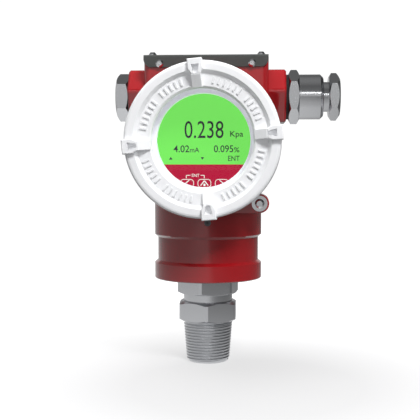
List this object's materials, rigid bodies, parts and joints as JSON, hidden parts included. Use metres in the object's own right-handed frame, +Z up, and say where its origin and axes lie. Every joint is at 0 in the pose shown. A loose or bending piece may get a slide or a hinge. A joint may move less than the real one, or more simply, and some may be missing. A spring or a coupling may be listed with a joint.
{
  "type": "pressure transmitter",
  "caption": "Field pressure transmitter with a round two-chamber housing, window cover with display, cable gland, blanking plug and taper-thread process connection.",
  "frame": {"origin": "centre of the lower end face of the process thread", "axes": "+Z up the neck, display faces -Y, cable gland points to +X, blanking plug to -X"},
  "size_m": [0.107, 0.09, 0.1489],
  "materials": {
    "stainless": "satin",
    "red_enamel": "gloss",
    "white_enamel": "gloss",
    "glass": "polished",
    "black_metal": "satin",
    "rubber": "matte",
    "dark_plastic": "satin",
    "lcd_green": "gloss",
    "crimson_plastic": "satin",
    "circuit_board": "satin",
    "brass": "satin",
    "screw_steel": "satin",
    "plate_steel": "satin"
  },
  "bodies": {
    "sensor_base": {"process_adapter": "stainless", "adapter_gasket": "rubber", "sensor_body": "stainless", "neck_o_ring": "rubber", "cell_o_ring": "rubber", "pressure_cell": "stainless", "cell_retainer": "stainless"},
    "housing": {"housing": "red_enamel", "display_frame": "dark_plastic", "lcd_panel": "lcd_green", "key_panel": "crimson_plastic", "display_board": "circuit_board", "main_board": "circuit_board", "module_posts": "brass", "module_screws": "screw_steel", "terminal_block": "dark_plastic", "terminal_clamps": "brass", "terminal_screws": "screw_steel", "terminal_block_screws": "screw_steel", "inner_ground_screw": "screw_steel", "feed_through": "brass", "gland_seal_washer": "rubber", "gland_body": "stainless", "gland_grommet": "rubber", "top_plate": "plate_steel", "top_plate_screws": "screw_steel", "flange_screws": "screw_steel", "ground_washer": "stainless", "ground_screw": "screw_steel", "cover_lock_screws": "screw_steel", "housing_lock_screw": "screw_steel"},
    "front_seal": {"front_cover_o_ring": "rubber"},
    "front_cover": {"front_cover": "white_enamel", "window_gasket": "rubber", "window_glass": "glass", "window_retainer": "black_metal"},
    "rear_seal": {"rear_cover_o_ring": "rubber"},
    "rear_cover": {"rear_cover": "white_enamel"},
    "plug_seal": {"plug_o_ring": "rubber"},
    "blanking_plug": {"blanking_plug": "stainless"},
    "gland_ring": {"gland_slip_ring": "stainless"},
    "gland_nut": {"gland_nut": "stainless"},
    "key_left": {"key_left": "crimson_plastic"},
    "key_middle": {"key_middle": "crimson_plastic"},
    "key_right": {"key_right": "crimson_plastic"}
  },
  "joints": [
    {"name": "housing_turn", "type": "hinge", "parent": "sensor_base", "child": "housing", "pos_m": [0, 0, 0.041], "axis": [0, 0, 1], "range_deg": [-180, 180]},
    {"name": "front_cover_slide", "type": "slide", "parent": "housing", "child": "front_seal", "axis": [0, -1, 0], "range_m": [0, 0.01055]},
    {"name": "front_cover_turn", "type": "hinge", "parent": "front_seal", "child": "front_cover", "pos_m": [0, -0.033, 0.1065], "axis": [0, -1, 0], "range_deg": [0, 2520]},
    {"name": "rear_cover_slide", "type": "slide", "parent": "housing", "child": "rear_seal", "axis": [0, 1, 0], "range_m": [0, 0.01055]},
    {"name": "rear_cover_turn", "type": "hinge", "parent": "rear_seal", "child": "rear_cover", "pos_m": [0, 0.033, 0.1065], "axis": [0, 1, 0], "range_deg": [0, 2520]},
    {"name": "plug_slide", "type": "slide", "parent": "housing", "child": "plug_seal", "axis": [-1, 0, 0], "range_m": [0, 0.01055]},
    {"name": "plug_turn", "type": "hinge", "parent": "plug_seal", "child": "blanking_plug", "pos_m": [-0.0375, 0, 0.1284], "axis": [-1, 0, 0], "range_deg": [0, 2520]},
    {"name": "gland_nut_slide", "type": "slide", "parent": "housing", "child": "gland_ring", "axis": [1, 0, 0], "range_m": [-0.00245, 0.00605]},
    {"name": "gland_nut_turn", "type": "hinge", "parent": "gland_ring", "child": "gland_nut", "pos_m": [0.058, 0, 0.1284], "axis": [1, 0, 0], "range_deg": [-864, 2160]},
    {"name": "key_left_press", "type": "slide", "parent": "housing", "child": "key_left", "axis": [0, 1, 0], "range_m": [0, 0.0004], "stiffness_N_per_m": 1500},
    {"name": "key_middle_press", "type": "slide", "parent": "housing", "child": "key_middle", "axis": [0, 1, 0], "range_m": [0, 0.0004], "stiffness_N_per_m": 1500},
    {"name": "key_right_press", "type": "slide", "parent": "housing", "child": "key_right", "axis": [0, 1, 0], "range_m": [0, 0.0004], "stiffness_N_per_m": 1500}
  ],
  "couplings": [
    {"joint": "front_cover_slide", "follows": "front_cover_turn", "m_per_rad": 0.00023873},
    {"joint": "rear_cover_slide", "follows": "rear_cover_turn", "m_per_rad": 0.00023873},
    {"joint": "plug_slide", "follows": "plug_turn", "m_per_rad": 0.00023873},
    {"joint": "gland_nut_slide", "follows": "gland_nut_turn", "m_per_rad": 0.00015915}
  ]
}
